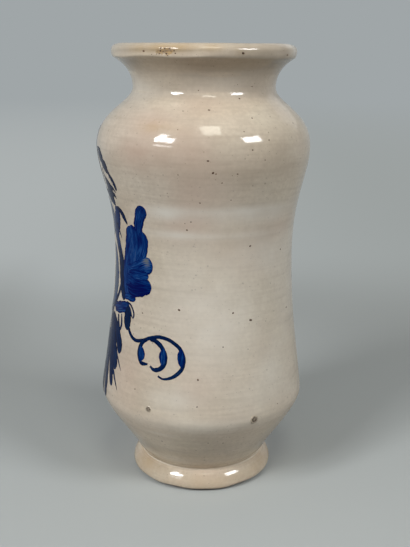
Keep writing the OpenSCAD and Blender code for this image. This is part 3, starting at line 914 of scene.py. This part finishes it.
def brush_width(habit, share, run, widest):
    """The share of its widest place that a stroke has, where share of its run is behind the brush."""
    opening = round_end(share * run, widest)
    closing = round_end((1 - share) * run, widest)
    if habit == "line":
        return opening * np.clip((1 - share) / 0.16, 0.3, 1) ** 0.5
    if habit == "tail":
        return opening * np.clip(1 - share, 0.02, 1) ** 0.6
    if habit == "lobe":
        return closing * (0.75 + 0.25 * share)
    if habit == "bead":
        return np.clip(np.sin(math.pi * share), 0.01, 1) ** 0.7
    return opening * closing * (0.72 + 0.28 * np.sin(math.pi * share))


def wavering(travel, rng):
    """How both edges of a stroke waver round their width, for each place of the brush's travel in mm."""
    edges = [1, 1]
    for depth, per_mm in WAVER:
        edges = [edge + depth * np.sin(travel * per_mm + rng.uniform(0, FULL_TURN)) for edge in edges]
    return edges


def stroke_faces(rows, lanes):
    """Quads over a stroke's top and root and over both ends."""
    strip = 2 * lanes
    sides = ring_faces(rows, strip, False)[:, ::-1]
    start = np.array([[k, k + 1, strip - 2 - k, strip - 1 - k] for k in range(lanes - 1)])
    return np.concatenate([sides, start, start[:, ::-1] + (rows - 1) * strip])


def paint_load(habit, share, places, rng):
    """How much paint each place of a stroke has."""
    full_load = WASH_LOAD if habit == "wash" else FULL_LOAD
    stroke_load = full_load - LOAD_SPENT * share[:, None] + rng.uniform(-LOAD_VARIES, LOAD_VARIES)
    load = np.broadcast_to(stroke_load, places.shape[:2]).copy()
    for at, up, half_width, half_height, missing in THIN_PLACES:
        load -= missing * bell(places[..., 0] - at, half_width) * bell(places[..., 1] - up, half_height)
    return load


def ink_share(habit, ink):
    """The share of dark ink in a stroke of a node that has ink of it."""
    fixed = {"line": max(ink, LINE_INK), "tail": max(ink, LINE_INK), "dark": DARK_INK, "wash": WASH_INK}
    return fixed.get(habit, ink)


def paint_stroke(stroke, layer, mirror, ink, rng):
    """One stroke as a closed skin on the glaze: points, faces and what the paint's material reads."""
    widest, habit = stroke[:2]
    path = smooth_path(np.array([(*place, 1.0)[:3] for place in stroke[2:]]), lambda *_: BRUSH_STEP)
    line, press = path[:, :2], np.clip(path[:, 2], LIGHTEST_PRESS, HARDEST_PRESS)
    ahead = np.gradient(line, axis=0)
    side = np.stack([-ahead[:, 1], ahead[:, 0]], axis=1) / np.hypot(*ahead.T)[:, None]
    share = np.linspace(0, 1, len(line))
    run = BRUSH_STEP * (len(line) - 1)
    half = widest / 2 * press * brush_width(habit, share, run, widest)
    lanes = max(FEWEST_LANES, math.ceil(widest / BRUSH_LANE) + 1)
    across = np.linspace(-1, 1, lanes)
    left, right = wavering(share * run, rng)
    reach = np.where(across[None, :] < 0, left[:, None], right[:, None]) * across[None, :]
    places = line[:, None, :] + side[:, None, :] * (reach * half[:, None])[..., None]
    height = WAIST_AT + places[..., 1]
    sine = np.maximum(np.sin(np.radians(places[..., 0])), LEAST_SINE)
    aside = lean(height) / np.interp(height, OUT_Z, OUT_R) / sine
    angle = (places[..., 0] - np.degrees(aside)) * mirror
    crown = PAINT_LIFT + layer * PAINT_LAYER - PAINT_FALL * across ** 6
    top = on_body(angle, height, np.broadcast_to(crown, angle.shape))
    root = on_body(angle, height, PAINT_ROOT)
    points = np.concatenate([top, root[:, ::-1]], axis=1).reshape(-1, 3)
    faces = stroke_faces(len(line), lanes)
    fields = {
        "load": paint_load(habit, share, places, rng),
        "brush": np.full(angle.shape, rng.uniform(0, BRUSHES)),
        "across": reach * half[:, None],
        "along": np.broadcast_to((share * run)[:, None], angle.shape),
        "edge": np.broadcast_to(np.abs(across), angle.shape),
        "ink": np.full(angle.shape, ink_share(habit, ink)),
    }
    both = {name: np.concatenate([field, field[:, ::-1]], axis=1).ravel() for name, field in fields.items()}
    return points, faces[:, ::-1] if mirror < 0 else faces, both


def brushwork(node, strokes, first_layer, ink, seed):
    """All strokes of one painted node, right half and left half."""
    rng = random.Random(seed)
    points, faces, fields, count = [], [], {}, 0
    for mirror in (1, -1):
        for layer, stroke in enumerate(strokes):
            made, quads, values = paint_stroke(stroke, first_layer + layer, mirror, ink, rng)
            points.append(made)
            faces += (quads + count).tolist()
            count += len(made)
            for name, value in values.items():
                fields.setdefault(name, []).append(value)
    piece = new_piece(node + "_paint", np.concatenate(points), faces, COBALT_PAINT)
    piece.data.set_sharp_from_angle(angle=PAINT_CREASE)
    for name, values in fields.items():
        mark(piece, name, np.concatenate(values))
    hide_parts(node)


# Specks and blisters in the glaze

# Specks that the photograph shows: pixel and width in mm
SPECKS_SEEN = [
    (209, 110, 1.3), (208, 161, 1.3), (213, 173, 1.4), (237.5, 174, 1.0), (200, 203, 1.0), (187, 230, 1.2),
    (191, 222, 0.9), (250, 246, 1.4), (279.5, 249, 1.2), (252.6, 150, 1.0), (222, 183, 0.8), (231, 200, 0.8),
    (269, 140, 0.9), (293, 123, 0.9), (252, 86.5, 0.8), (239.5, 98.5, 1.0), (252, 118, 0.9), (183, 111, 0.7),
    (179, 310, 1.5), (250.6, 320, 1.8), (233, 313, 1.1), (286, 307, 1.4), (142.5, 313, 1.0), (198, 380, 1.2),
    (223, 347, 0.9), (162, 441, 1.2), (208, 443, 1.0), (160.7, 47.7, 0.9), (164.7, 48.3, 0.9),
    (169.3, 48.3, 0.9), (160.3, 50.7, 0.9), (166.3, 53.7, 1.0), (174, 50.7, 0.9), (175.3, 53.3, 0.9),
    (159.3, 53.7, 0.8), (156.7, 54, 0.7), (152, 54.3, 0.6), (168, 55.3, 0.7), (163, 51.2, 0.7),
    (171, 51, 0.7), (143.3, 51, 1.3), (243.3, 53.3, 1.3), (287, 55, 1.1), (283.5, 50.5, 0.6), (223, 443, 0.9),
    (135, 389, 0.9), (197, 407, 0.8), (248, 349, 0.7), (216, 174, 0.8), (178, 175, 0.7), (265, 160, 0.7),
]
# Stray specks all over: how many, between which heights, least width and how much wider some are, in mm
STRAY_SPECKS = 110
STRAY_LOW, STRAY_HIGH = 20, 258
STRAY_WIDTH, STRAY_WIDER = 0.25, 0.55
SPECK_SIDES = 10
# A speck's rings: share of its half width, and lift off the glaze in mm; then its middle below and above
SPECK_RINGS = [(1.0, -0.04), (1.0, 0.02), (0.55, 0.06)]
SPECK_BELOW, SPECK_ABOVE = 0.05, 0.07
# Specks: how flat and how pale the least are, how oval and ragged they are, darkness, and more of it per mm
SPECK_FLAT, SPECK_PALE = 0.65, 0.7
SPECK_OVAL, OVAL_TURNS, SPECK_RAGGED = 0.16, 40, 0.1
SPECK_DARK, DARK_PER_MM = 0.25, 0.5
SPECK_SEED = 17
SKIN_NUDGE = 0.4


def skin_frame(angle, height):
    """A place on the glaze and its axes: round the jar, up the wall and outwards."""
    here = Vector(on_body(angle, height))
    ahead = Vector(on_body(angle + SKIN_NUDGE, height))
    above = Vector(on_body(angle, height + SKIN_NUDGE))
    along = (ahead - here).normalized()
    out = along.cross(above - here).normalized()
    return here, along, out.cross(along), out


def speck_shape(angle, height, width, rng):
    """A low irregular dome that is rooted in the glaze."""
    here, along, up, out = skin_frame(angle, height)
    squeeze = rng.uniform(SPECK_FLAT, 1.0)
    points = []
    for reach, lift in SPECK_RINGS:
        for k in range(SPECK_SIDES):
            turn = 2 * math.pi * k / SPECK_SIDES
            oval = SPECK_OVAL * math.sin(2 * turn + width * OVAL_TURNS)
            far = width / 2 * reach * (1 + oval + rng.uniform(-SPECK_RAGGED, SPECK_RAGGED))
            aside = along * math.cos(turn) * far + up * math.sin(turn) * far * squeeze
            points.append(here + (aside + out * lift) * MM)
    count = len(points)
    points += [here - out * SPECK_BELOW * MM, here + out * SPECK_ABOVE * MM]
    faces = ring_faces(len(SPECK_RINGS), SPECK_SIDES, False).tolist()
    faces += fan_faces(count, 0, SPECK_SIDES, True)
    faces += fan_faces(count + 1, count - SPECK_SIDES, SPECK_SIDES, False)
    return points, faces


def iron_specks():
    """Specks where the photograph shows them, and stray ones all over."""
    rng = random.Random(SPECK_SEED)
    spots = [(*seen_at(px, py), width) for px, py, width in SPECKS_SEEN]
    for _ in range(STRAY_SPECKS):
        angle, height = rng.uniform(0, 360), rng.uniform(STRAY_LOW, STRAY_HIGH)
        spots.append((angle, height, STRAY_WIDTH + STRAY_WIDER * rng.random() ** 3))
    points, faces, dark = [], [], []
    for angle, height, width in spots:
        made, sides = speck_shape(angle, height, width, rng)
        faces += [tuple(len(points) + k for k in side) for side in sides]
        points += made
        darkness = min(1.0, SPECK_DARK + DARK_PER_MM * width) * rng.uniform(SPECK_PALE, 1.0)
        dark += [darkness] * len(made)
    piece = new_piece("iron_specks", points, faces, IRON)
    mark(piece, "dark", dark)


# Blisters: pixel, and half width of the crater in mm
BLISTERS = [(148.3, 409, 1.5), (254.2, 419.5, 2.0)]
# A crater's rings from the middle outwards and down to its root: share of the half width, then lift in mm
CRATER = [
    (0.3, -0.01), (0.5, -0.12), (0.68, -0.16), (0.82, 0.05), (0.95, 0.12), (1.1, 0.06), (1.3, -0.03),
    (1.3, -0.3),
]
CRATER_SIDES = 28
# How far the crater stands off the glaze, and its middle above and below, in mm
CRATER_LIFT, CRATER_TOP, CRATER_ROOT = 0.14, 0.12, 0.16
RAGGED, UNEVEN = 0.07, 0.02
BLISTER_SEED = 23


def glaze_blisters():
    """Burst blisters: a sunk ring round a rough floor, with a raised rim that runs out into the glaze."""
    rng = random.Random(BLISTER_SEED)
    points, faces, rings = [], [], []
    for px, py, half in BLISTERS:
        here, along, up, out = skin_frame(*seen_at(px, py))
        base = len(points)
        ragged = [1 + rng.uniform(-RAGGED, RAGGED) for _ in range(CRATER_SIDES)]
        for share, lift in CRATER:
            for k in range(CRATER_SIDES):
                turn = 2 * math.pi * k / CRATER_SIDES
                far = half * share * ragged[k]
                aside = along * math.cos(turn) * far + up * math.sin(turn) * far
                points.append(here + (aside + out * (lift + CRATER_LIFT + rng.uniform(-UNEVEN, UNEVEN))) * MM)
                rings.append(share)
        top, bottom = len(points), len(points) + 1
        points += [here + out * CRATER_TOP * MM, here - out * CRATER_ROOT * MM]
        rings += [0.0, CRATER[-1][0]]
        faces += (ring_faces(len(CRATER), CRATER_SIDES, False)[:, [0, 3, 2, 1]] + base).tolist()
        faces += fan_faces(top, base, CRATER_SIDES, False)
        faces += fan_faces(bottom, top - CRATER_SIDES, CRATER_SIDES, True)
    piece = new_piece("glaze_blisters", points, faces, BLISTER)
    mark(piece, "ring", rings)


def dress_clay():
    """The turned clay and its luting slip keep their shapes from the frame."""
    finishes = {"clay": BARE_CLAY, "slip": LUTING_SLIP}
    for part in frame["record"]["subparts"]:
        if part["material_slot"] in finishes:
            mesh = frame["nodes"][part["node"]].data
            mesh.materials.clear()
            mesh.materials.append(finishes[part["material_slot"]])


# Floor and light

# The floor under the jar, and what it gives back to the jar near it, in front of it and far off
PAPER_GREY = linear(186, 191, 191)
BOUNCE_PALE = linear(150, 147, 139)
BOUNCE_DIM = linear(116, 113, 104)
BOUNCE_FAR = linear(78, 78, 76)
# The backdrop: left and right of the jar, close behind it, far off, and on the camera's side. Its darker grey
# on the right and close behind the jar is painted shade.
BACKDROP_LEFT = linear(172, 177, 177)
BACKDROP_RIGHT = linear(156, 161, 160)
BACKDROP_NEAR_SHADE = linear(138, 141, 139)
AIR_GREY = linear(160, 166, 168)
AIR_DARK = linear(92, 94, 95)
# What the air gives to the jar as light
AIR_DIM = linear(98, 99, 100)

FLOOR_HALF = 6.0


def seen_directly(tree):
    """1 for the rays that show the backdrop: straight to the camera, mirrored or through glass."""
    path = put(tree, "LightPath")
    return (path["Is Camera Ray"] + (path["Is Glossy Ray"] + path["Is Transmission Ray"])).held()


def air_colour(forward):
    """Grey air behind the jar that dims on the camera's side."""
    return forward.spread(-0.5, 0.5).blend(AIR_GREY, AIR_DARK)


def backdrop_colour(place, distance):
    """The grey behind the jar with painted shade: lighter on the left, darker close behind, and like the air
    far off.
    """
    grey = place["Y"].spread(-0.35, 0.4).blend(BACKDROP_LEFT, BACKDROP_RIGHT)
    left = place["Y"].spread(-0.24, -0.12) * place["Y"].spread(0.06, -0.04)
    nearer = place["X"] - left * 0.17
    # Painted shade: the grey darkens close behind the jar
    grey = nearer.spread(-0.6, -0.15).blend(grey, BACKDROP_NEAR_SHADE)
    grey = place["X"].spread(0.1, 0.6).blend(grey, AIR_DARK)
    return distance.spread(0.8, 4.5).blend(grey, air_colour(place["X"] / distance))


def paper_material():
    """Pale paper that takes the jar's shadow and fades away from it to the backdrop, whose grey holds painted
    shade.
    """
    material, tree, shader = new_material("studio_paper")
    at = object_place(tree)
    place = put(tree, "SeparateXYZ", Vector=at)
    distance = put(tree, "VectorMath", {"operation": "LENGTH"}, Vector=at)["Value"]
    off = (distance - figure("ABSOLUTE", place["Y"]) * 0.6).spread(0.07, 0.2)
    given_back = distance.spread(0.2, 0.45).blend(off.blend(BOUNCE_PALE, BOUNCE_DIM), BOUNCE_FAR)
    bounced = put(tree, "LightPath")["Is Diffuse Ray"]
    feed_all(shader, Base_Color=bounced.blend(PAPER_GREY, given_back), Roughness=0.9, Specular_IOR_Level=0.1)
    backdrop = put(tree, "Emission", Color=backdrop_colour(place, distance))
    mix = put(tree, "MixShader", Fac=distance.spread(0.16, 0.5) * seen_directly(tree))
    feed(mix.node.inputs[1], Wire(shader.outputs[0]))
    feed(mix.node.inputs[2], backdrop[0])
    feed(tree.nodes["Material Output"].inputs["Surface"], mix[0])
    return material


def floor():
    """A wide plain floor under the jar."""
    mesh = bpy.data.meshes.new("studio_floor")
    corners = [(x, y, 0) for x in (-FLOOR_HALF, FLOOR_HALF) for y in (-FLOOR_HALF, FLOOR_HALF)]
    mesh.from_pydata(corners, [], [(0, 2, 3, 1)])
    mesh.materials.append(paper_material())
    piece = bpy.data.objects.new("studio_floor", mesh)
    bpy.context.collection.objects.link(piece)


def world():
    """Even grey air behind the jar, dimmer on the camera's side."""
    made = bpy.data.worlds.new("studio_air")
    bpy.context.scene.world = made
    made.use_nodes = True
    tree = made.node_tree
    way = put(tree, "SeparateXYZ", Vector=put(tree, "TexCoord")["Generated"])
    shown = air_colour(way["X"])
    feed(tree.nodes["Background"].inputs["Color"], seen_directly(tree).blend(AIR_DIM, shown))


# Where the lamps look, and how far from there they stand, in metres
LAMPS_LOOK_AT = Vector((0, 0, 0.22))
LAMP_DISTANCE = 1.5
WHITE, WARM = (1.0, 1.0, 1.0), (0.95, 0.93, 0.8)
# Soft lamps: degrees from the camera to the right and up, width and height in degrees as the jar sees them,
# watts and colour
LAMPS = {
    "left_lamp": (-45, 30, 19, 13, 10.8, WHITE),
    "left_lamp_top": (-50, 40, 8, 8, 2.2, WHITE),
    "left_lamp_foot": (-44, 15, 19, 2.4, 0.9, WHITE),
    "right_lamp": (57, 31, 19, 14, 9.4, WHITE),
    "top_lamp": (12, 60, 16, 20, 3.6, WARM),
    "left_fill": (-85, 25, 55, 45, 1.2, WHITE),
    "back_light": (146, 27, 34, 18, 0.5, WHITE),
}


def lights():
    """Soft lamps round the jar that face it."""
    for name, (azimuth, elevation, width, height, watts, colour) in LAMPS.items():
        turn, rise = math.radians(azimuth), math.radians(elevation)
        out = Vector((math.cos(rise) * math.cos(turn), math.cos(rise) * math.sin(turn), math.sin(rise)))
        data = bpy.data.lights.new(name, "AREA")
        data.shape = "RECTANGLE"
        data.size, data.size_y = (2 * LAMP_DISTANCE * math.tan(math.radians(v) / 2) for v in (width, height))
        data.energy = watts
        data.color = colour
        made = bpy.data.objects.new(name, data)
        made.location = LAMPS_LOOK_AT + out * LAMP_DISTANCE
        made.rotation_euler = out.to_track_quat("Z", "Y").to_euler()
        bpy.context.collection.objects.link(made)


make_camera()
outer_glaze()
inner_glaze()
for painted_node, painting in PAINTED.items():
    brushwork(painted_node, *painting)
iron_specks()
glaze_blisters()
dress_clay()
floor()
world()
lights()
bpy.context.scene.view_settings.view_transform = "Standard"
